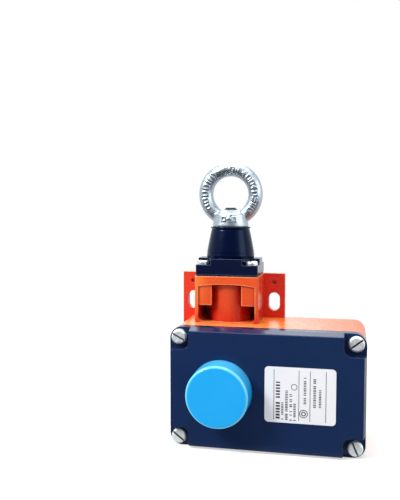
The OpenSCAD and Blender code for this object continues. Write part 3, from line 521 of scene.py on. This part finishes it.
class SWITCH_OT_wind_springs(bpy.types.Operator):
    """Wind the five springs"""

    bl_idname = "switch.wind_springs"
    bl_label = "Wind the springs"

    def execute(self, context):
        steel = bpy.data.materials["spring_steel"]
        tree = spring_tree()
        slim = 0.98  # the wire's share of its CAD thickness, so that it stays clear of its seats
        for node, (axis, wire, turns, low_body, high_body) in SPRINGS.items():
            low, high = (Vector(c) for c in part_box(node))
            along = Vector(axis)
            length = (high - low).dot(along)
            across = max((high - low)[i] for i in range(3) if not axis[i])
            start = (low + high) / 2 - along * length / 2
            mesh = grow(tree, Mean_Radius=(across - wire * MM) / 2, Wire=wire * MM * slim, Length=length,
                        Turns=float(turns), Material=steel)
            turn = Vector((0, 0, 1)).rotation_difference(along).to_matrix().to_4x4()
            mesh.transform(Matrix.Translation(start) @ turn)
            spring = piece("wound_" + node, mesh, steel)
            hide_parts(node)
            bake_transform(spring)
        return {"FINISHED"}


MARKS = [
    # blank marks of bars: centre along and across the row, width, height, as shares of the mark
    [(-0.38, 0, 0.24, 1.0), (0.38, 0, 0.24, 1.0), (0, 0.4, 0.6, 0.2), (0, -0.4, 0.6, 0.2)],
    [(-0.26, 0, 0.26, 0.9), (0.26, 0, 0.26, 0.9)],
    [(0, 0.28, 0.9, 0.26), (0, -0.28, 0.9, 0.26)],
    [(0, 0, 0.28, 0.95), (0, 0, 0.9, 0.24)],
]

MARK_ROWS = [
    # name, on the collar, start and sweep in degrees, width in radians, reach in radians or mm, count, seed
    ("ring_marks_right", False, -38, 92, 0.21, 1.05, 8, 3),
    ("ring_marks_top", False, 72, 40, 0.19, 1.0, 4, 5),
    ("ring_marks_left", False, 132, 78, 0.22, 1.05, 6, 8),
    ("collar_marks", True, -14, 36, 0.26, 4.6, 3, 2),
]


def mark_tree(name, post):
    """Raised blank marks in a row, bent round a post along Z or over the front of a ring about the Y axis.
    X runs along the row, Y across it and Z out of the surface."""
    tree, entry = tree_of(name, ("Ring Radius", "Section Radius", "Start", "Sweep", "Rise", "Width", "Reach"),
                          ("Count", "Seed"))
    last = add(tree, MATHS, {0: entry["Count"], 1: 1}, operation="SUBTRACT")
    share = add(tree, MATHS, {0: add(tree, "GeometryNodeInputIndex"), 1: last}, operation="DIVIDE")
    along = add(tree, MATHS, {0: share, 1: entry["Sweep"], 2: entry["Start"]}, operation="MULTIPLY_ADD")
    spots = add(tree, "GeometryNodeSetPosition", {
        "Geometry": add(tree, "GeometryNodeMeshLine", {"Count": entry["Count"]}),
        "Position": add(tree, "ShaderNodeCombineXYZ", {"X": along})})
    kinds = add(tree, "GeometryNodeJoinGeometry")
    for bars in MARKS:
        shape = add(tree, "GeometryNodeJoinGeometry")
        for x, y, wide, tall in bars:
            bar = add(tree, "GeometryNodeMeshCube",
                      {"Size": (wide, tall, 2), "Vertices X": 3, "Vertices Y": 5, "Vertices Z": 2})
            moved = add(tree, "GeometryNodeTransform", {"Geometry": bar, "Translation": (x, y, 0)})
            tree.links.new(moved.outputs[0], shape.inputs[0])
        kind = add(tree, "GeometryNodeGeometryToInstance", {"Geometry": shape})
        tree.links.new(kind.outputs[0], kinds.inputs[0])
    choice = add(tree, "FunctionNodeRandomValue", {"Min": 0, "Max": len(MARKS) - 1, "Seed": entry["Seed"]},
                 data_type="INT")
    spread = add(tree, "FunctionNodeRandomValue",
                 {"Min": (0.8, 0.75, 0.8), "Max": (1.1, 1.0, 1.1), "Seed": entry["Seed"]},
                 data_type="FLOAT_VECTOR")
    size = add(tree, "ShaderNodeCombineXYZ", {"X": entry["Width"], "Y": entry["Reach"], "Z": entry["Rise"]})
    marks = add(tree, "GeometryNodeInstanceOnPoints", {
        "Points": spots, "Instance": kinds, "Pick Instance": True, "Instance Index": choice.outputs[2],
        "Scale": add(tree, "ShaderNodeVectorMath", {0: spread, 1: size}, operation="MULTIPLY")})
    flat = add(tree, "ShaderNodeSeparateXYZ", {0: add(tree, "GeometryNodeInputPosition")}).outputs
    out = add(tree, MATHS, {0: entry["Section Radius"], 1: flat[2]}, operation="ADD")
    (sin_along, cos_along), (sin_across, cos_across) = (
        [add(tree, MATHS, {0: flat[i]}, operation=side) for side in ("SINE", "COSINE")] for i in (0, 1))
    if post:
        factors = (out, sin_along), (out, cos_along), (flat[1], 1)
    else:
        radius = add(tree, MATHS, {0: out, 1: sin_across, 2: entry["Ring Radius"]}, operation="MULTIPLY_ADD")
        factors = (radius, cos_along), (out, cos_across), (radius, sin_along)
    x, y, z = (add(tree, MATHS, {0: one, 1: other}, operation="MULTIPLY") for one, other in factors)
    forward = add(tree, MATHS, {0: y, 1: -1}, operation="MULTIPLY")
    bent = add(tree, "GeometryNodeSetPosition", {
        "Geometry": add(tree, "GeometryNodeRealizeInstances", {"Geometry": marks}),
        "Position": add(tree, "ShaderNodeCombineXYZ", {"X": x, "Y": forward, "Z": z})})
    return close_tree(tree, entry, bent)


class SWITCH_OT_forge_eye(bpy.types.Operator):
    """Forge the lifting eye: the ring flows into the collar, with blank raised marks on both"""

    bl_idname = "switch.forge_eye"
    bl_label = "Forge the eye"

    def execute(self, context):
        sizes = context.scene.switch_sizes
        low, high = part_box("pull_eye")
        outer, section, collar_r, collar_lift = (high[0] - low[0]) / 2, 5 * MM, 12.1 * MM, 5.6 * MM
        middle = Vector(((low[0] + high[0]) / 2, (low[1] + high[1]) / 2, high[2] - outer))
        collar = Vector((middle[0], middle[1], low[2] + collar_lift))
        steel = bpy.data.materials["zinc_plate_forging"]
        shapes = bmesh.new()
        shapes.from_mesh(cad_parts["pull_eye"].data)
        for row, post, start, sweep, width, reach, count, seed in MARK_ROWS:
            mesh = grow(mark_tree(row, post), Ring_Radius=outer - section,
                        Section_Radius=collar_r if post else section, Start=math.radians(start),
                        Sweep=math.radians(sweep), Rise=sizes.mark_rise, Width=width,
                        Reach=reach * MM if post else reach, Count=count, Seed=seed, Material=steel)
            mesh.transform(Matrix.Translation(collar if post else middle))
            shapes.from_mesh(mesh)
        bmesh.ops.remove_doubles(shapes, verts=shapes.verts, dist=0.001 * MM)
        blank = bpy.data.meshes.new("blank")
        shapes.to_mesh(blank)
        shapes.free()
        host = piece("host", blank, steel)
        skin = host.modifiers.new("skin", "REMESH")
        skin.mode, skin.voxel_size, skin.use_smooth_shade = "VOXEL", sizes.forge_grain, True
        flow = host.modifiers.new("flow", "SMOOTH")
        flow.factor, flow.iterations = 0.5, 3
        mesh = bpy.data.meshes.new_from_object(host.evaluated_get(context.evaluated_depsgraph_get()))
        bpy.data.objects.remove(host)
        eye = piece("forged_eye", mesh, steel)
        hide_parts("pull_eye")
        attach(eye, "pull_rod")
        return {"FINISHED"}


def bar_tree():
    """A row of flat bars of uneven length with some left out, as a column of blank print: Z along the row,
    thickness along -Y."""
    tree, entry = tree_of("print_row", ("Length", "Width", "Rise", "Ink Share", "Left Out", "Unevenness"),
                          ("Count", "Seed"))
    pitch = add(tree, MATHS, {0: entry["Length"], 1: entry["Count"]}, operation="DIVIDE")
    middle = add(tree, MATHS, {0: add(tree, "GeometryNodeInputIndex"), 1: 0.5}, operation="ADD")
    up = add(tree, MATHS, {0: pitch, 1: middle}, operation="MULTIPLY")
    spots = add(tree, "GeometryNodeSetPosition", {
        "Geometry": add(tree, "GeometryNodeMeshLine", {"Count": entry["Count"]}),
        "Position": add(tree, "ShaderNodeCombineXYZ", {"Z": up})})
    spread = add(tree, "FunctionNodeRandomValue", {2: -0.5, 3: 0.5, "Seed": entry["Seed"]}, data_type="FLOAT")
    uneven = add(tree, MATHS, {0: spread.outputs[1], 1: entry["Unevenness"], 2: 1}, operation="MULTIPLY_ADD")
    inked = add(tree, MATHS, {0: pitch, 1: entry["Ink Share"]}, operation="MULTIPLY")
    tall = add(tree, MATHS, {0: inked, 1: uneven}, operation="MULTIPLY")
    other_seed = add(tree, MATHS, {0: entry["Seed"], 1: 50}, operation="ADD")
    chance = add(tree, "FunctionNodeRandomValue", {"Seed": other_seed}, data_type="FLOAT")
    kept = add(tree, MATHS, {0: chance.outputs[1], 1: entry["Left Out"]}, operation="GREATER_THAN")
    bars = add(tree, "GeometryNodeInstanceOnPoints", {
        "Points": spots, "Instance": add(tree, "GeometryNodeMeshCube"), "Selection": kept,
        "Scale": add(tree, "ShaderNodeCombineXYZ", {"X": entry["Width"], "Y": entry["Rise"], "Z": tall})})
    return close_tree(tree, entry, bars)


PRINT_ROWS = [
    # share across the plate, start and length as shares of its height, width in mm, bars, seed
    (0.19, 0.06, 0.69, 2.6, 13, 14), (0.254, 0.05, 0.35, 1.5, 12, 2), (0.312, 0.05, 0.54, 1.7, 18, 3),
    (0.373, 0.04, 0.49, 1.6, 16, 4), (0.427, 0.04, 0.32, 1.5, 10, 5), (0.57, 0.35, 0.49, 1.6, 16, 6),
    (0.705, 0.30, 0.52, 1.7, 17, 7), (0.78, 0.30, 0.33, 1.5, 11, 8),
]
RULES = [(across, 0.05, 0.9, 0.38, 1, 0) for across in (0.134, 0.486, 0.642, 0.862)]
# the bars' inked share of their pitch, share of them left out, how far their lengths differ
BROKEN, WHOLE = (0.55, 0.12, 0.5), (1.0, 0.0, 0.0)
RINGS = [
    # blank roundels: shares across and up the plate, outer radius and line in mm
    (0.42, 0.65, 2.0, 0.4), (0.553, 0.18, 2.7, 0.5), (0.553, 0.18, 1.5, 0.6),
]


class SWITCH_OT_print_plate(bpy.types.Operator):
    """Coat the rating plate and print it with blank bars, rules and rings"""

    bl_idname = "switch.print_plate"
    bl_label = "Print the rating plate"

    def execute(self, context):
        looks, rise = context.scene.switch_finishes, context.scene.switch_sizes.print_rise
        # Printed polyester film: near-white with a low satin and no grain to speak of.
        finish("polyester_film", looks.film, "label_plate", grain=2.5, depth=0.01, rounding=0.15,
               drift=0.015, patch=9, Roughness=0.35, IOR=1.5)
        # Screen ink: dark grey, matt, a little uneven where it is thin.
        ink = finish("screen_ink", looks.ink, grain=0.5, depth=0.005, rounding=0.02, drift=0.2, patch=1.2,
                     Roughness=0.6, IOR=1.5)[0]
        low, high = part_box("label_plate")
        wide, tall = high[0] - low[0], high[2] - low[2]
        row_tree = bar_tree()
        printed = []
        columns = [(*row, *BROKEN) for row in PRINT_ROWS] + [(*rule, *WHOLE) for rule in RULES]
        for across, start, length, width, count, seed, share, left_out, unevenness in columns:
            mesh = grow(row_tree, Length=length * tall, Width=width * MM, Rise=2 * rise, Ink_Share=share,
                        Left_Out=left_out, Unevenness=unevenness, Count=count, Seed=seed, Material=ink)
            mesh.transform(Matrix.Translation((low[0] + across * wide, low[1], low[2] + start * tall)))
            printed.append(piece("row", mesh, ink))
        for across, up, radius, line in RINGS:
            outside, inside = radius * MM, (radius - line) * MM
            mesh = lathe("roundel", [(outside, -rise), (outside, rise), (inside, rise), (inside, -rise)],
                         (0, 0), 40)
            mesh.transform(Matrix.Translation((low[0] + across * wide, low[1], low[2] + up * tall))
                           @ Matrix.Rotation(math.pi / 2, 4, "X"))
            printed.append(piece("row", mesh, ink))
        plate = printed[0]
        with context.temp_override(active_object=plate, selected_editable_objects=printed):
            bpy.ops.object.join()
        plate.name = plate.data.name = "plate_print"
        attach(plate, "housing")
        return {"FINISHED"}


# ---- stage ----

WHITE = (1, 1, 1, 1)
LAMPS = [
    # name, place from the middle of the switch and size in metres, share of the key lamp's power
    ("key_lamp", (-0.8, -0.66, 0.75), 0.35, 1.0), ("fill_lamp", (1.0, -0.3, 0.3), 0.6, 0.22),
    ("top_lamp", (0.05, -0.1, 1.0), 0.7, 0.54), ("back_lamp", (-0.25, 0.85, 0.52), 0.6, 0.21),
]
CAMERA_PLACE = Vector((80.8, -479.4, 68.7)) * MM
CAMERA_YAW, CAMERA_PITCH = 0.2192, 0.0667  # radians to the left and down
LENS, SENSOR = 47.96, 36.0


def face(item, direction):
    """Turns a lamp or camera to look in that direction, with its top up."""
    item.rotation_euler = Vector(direction).to_track_quat("-Z", "Y").to_euler()


def lay_floor(stage, low, middle):
    """A matt pale floor that runs out to white, and lifts itself to white for the camera, less its shadow."""
    paint, tree, shader = finish("matt_floor", stage.floor, drift=0.01, patch=200, Roughness=0.9,
                                 Specular_IOR_Level=0.0, Emission_Color=WHITE)
    seen = add(tree, "ShaderNodeLightPath").outputs
    lift = add(tree, MATHS, {0: seen["Is Camera Ray"], 1: 0.55}, operation="MULTIPLY")
    tree.links.new(lift.outputs[0], shader.inputs["Emission Strength"])
    place = add(tree, "ShaderNodeTexCoord").outputs["Object"]
    away = add(tree, "ShaderNodeVectorMath", {0: place, 1: (middle[0], middle[1], low[2])},
               operation="DISTANCE")
    far = add(tree, "ShaderNodeMapRange", {"Value": away.outputs["Value"], "From Min": 0.2, "From Max": 0.55},
              interpolation_type="SMOOTHSTEP")
    white = add(tree, "ShaderNodeEmission", {"Color": WHITE, "Strength": 1.0})
    open_floor = add(tree, "ShaderNodeMixShader", {0: far, 1: shader, 2: white})
    # Gloss sees a dark flag laid on the floor before the switch, so that the dark plastics stay dark.
    depth = add(tree, "ShaderNodeSeparateXYZ", {0: place}).outputs["Y"]
    in_front = mask(tree, (depth, low[1] + 14 * MM, low[1]), most=seen["Is Glossy Ray"])
    flag = add(tree, "ShaderNodeEmission", {"Color": WHITE, "Strength": stage.flag})
    both = add(tree, "ShaderNodeMixShader", {0: in_front, 1: open_floor, 2: flag})
    tree.links.new(both.outputs[0], next(n for n in tree.nodes if n.type == "OUTPUT_MATERIAL").inputs[0])
    mesh = bpy.data.meshes.new("floor")
    reach, ground = 6.0, low[2] - 0.05 * MM
    mesh.from_pydata([(middle[0] + x * reach, middle[1] + y * reach, ground)
                      for x, y in ((-1, -1), (1, -1), (1, 1), (-1, 1))], [], [(0, 1, 2, 3)])
    piece("floor", mesh, paint)


def light_room(world, stage):
    """A room that is white to the camera, even and dim on matt surfaces, and has a dark side for gloss."""
    world.use_nodes = True
    tree = world.node_tree
    tree.nodes.clear()
    seen = add(tree, "ShaderNodeLightPath").outputs
    # Gloss sees a white room that darkens towards the operator, at eye level and below.
    facing = add(tree, "ShaderNodeTexCoord").outputs["Generated"]
    level = add(tree, "ShaderNodeVectorMath", {0: facing, 1: (1, 1, 0)}, operation="MULTIPLY")
    compass = add(tree, "ShaderNodeVectorMath", {0: level}, operation="NORMALIZE")
    beside, above = (
        add(tree, "ShaderNodeMapRange", {
            "Value": add(tree, "ShaderNodeSeparateXYZ", {0: way}).outputs[axis],
            "From Min": dark_at, "From Max": white_at, "To Min": stage.flag, "To Max": 1.0})
        for way, axis, dark_at, white_at in ((compass, "Y", -0.94, -0.6), (facing, "Z", 0.4, 0.65)))
    room = add(tree, MATHS, {0: beside, 1: above}, operation="MAXIMUM")
    gloss = add(tree, MATHS, {0: seen["Is Glossy Ray"], 1: room}, operation="MULTIPLY")
    clear = add(tree, MATHS, {0: seen["Is Camera Ray"], 1: seen["Is Transmission Ray"]}, operation="MAXIMUM")
    lift = add(tree, MATHS, {0: gloss, 1: clear}, operation="MAXIMUM")
    hue = add(tree, "ShaderNodeMix", {"Factor": seen["Is Glossy Ray"], "A": WHITE, "B": stage.daylight},
              data_type="RGBA")
    sky = add(tree, "ShaderNodeBackground", {
        "Color": hue.outputs["Result"],
        "Strength": add(tree, MATHS, {0: lift, 1: stage.ambient}, operation="MAXIMUM")})
    add(tree, "ShaderNodeOutputWorld", {"Surface": sky})


class SWITCH_OT_set_stage(bpy.types.Operator):
    """Set up the floor, the lamps, the white room and the camera"""

    bl_idname = "switch.set_stage"
    bl_label = "Set the stage"

    def execute(self, context):
        scene, stage = context.scene, context.scene.switch_stage
        low, high = (Vector(c) for c in cad_box)
        middle = (low + high) / 2
        lay_floor(stage, low, middle)
        scene.world = bpy.data.worlds.new("white_room")
        light_room(scene.world, stage)
        for name, place, size, share in LAMPS:
            light = bpy.data.lights.new(name, "AREA")
            light.size, light.energy = size, stage.key_power * share
            item = bpy.data.objects.new(name, light)
            scene.collection.objects.link(item)
            item.location = middle + Vector(place)
            face(item, -Vector(place))
        camera = bpy.data.objects.new("camera", bpy.data.cameras.new("camera"))
        scene.collection.objects.link(camera)
        camera.location = CAMERA_PLACE
        face(camera, (-math.sin(CAMERA_YAW) * math.cos(CAMERA_PITCH),
                      math.cos(CAMERA_YAW) * math.cos(CAMERA_PITCH), -math.sin(CAMERA_PITCH)))
        camera.data.lens, camera.data.sensor_width = LENS, SENSOR
        scene.camera = camera
        scene.view_settings.view_transform = "Standard"
        return {"FINISHED"}


STEPS = [SWITCH_OT_enamel_housing, SWITCH_OT_finish_plastics, SWITCH_OT_finish_metals, SWITCH_OT_finish_seals,
         SWITCH_OT_make_boot, SWITCH_OT_wind_springs, SWITCH_OT_forge_eye, SWITCH_OT_print_plate,
         SWITCH_OT_set_stage]


class SWITCH_PT_looks(bpy.types.Panel):
    """The steps and sizes of the switch's looks"""

    bl_idname = "SWITCH_PT_looks"
    bl_label = "Rope Switch"
    bl_space_type = "VIEW_3D"
    bl_region_type = "UI"
    bl_category = "Rope Switch"

    def draw(self, context):
        scene = context.scene
        for group in (scene.switch_finishes, scene.switch_sizes, scene.switch_stage):
            for key in group.__annotations__:
                self.layout.prop(group, key)
        for step in STEPS:
            self.layout.operator(step.bl_idname)


CLASSES = [SwitchFinishes, SwitchSizes, SwitchStage, *STEPS, SWITCH_PT_looks]


def register():
    for item in CLASSES:
        bpy.utils.register_class(item)
    bpy.types.Scene.switch_finishes = PointerProperty(type=SwitchFinishes)
    bpy.types.Scene.switch_sizes = PointerProperty(type=SwitchSizes)
    bpy.types.Scene.switch_stage = PointerProperty(type=SwitchStage)


def unregister():
    del bpy.types.Scene.switch_finishes, bpy.types.Scene.switch_sizes, bpy.types.Scene.switch_stage
    for item in reversed(CLASSES):
        bpy.utils.unregister_class(item)


def main():
    """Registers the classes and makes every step."""
    register()
    bpy.ops.switch.enamel_housing()
    bpy.ops.switch.finish_plastics()
    bpy.ops.switch.finish_metals()
    bpy.ops.switch.finish_seals()
    bpy.ops.switch.make_boot()
    bpy.ops.switch.wind_springs()
    bpy.ops.switch.forge_eye()
    bpy.ops.switch.print_plate()
    bpy.ops.switch.set_stage()


if __name__ == "__main__":
    main()
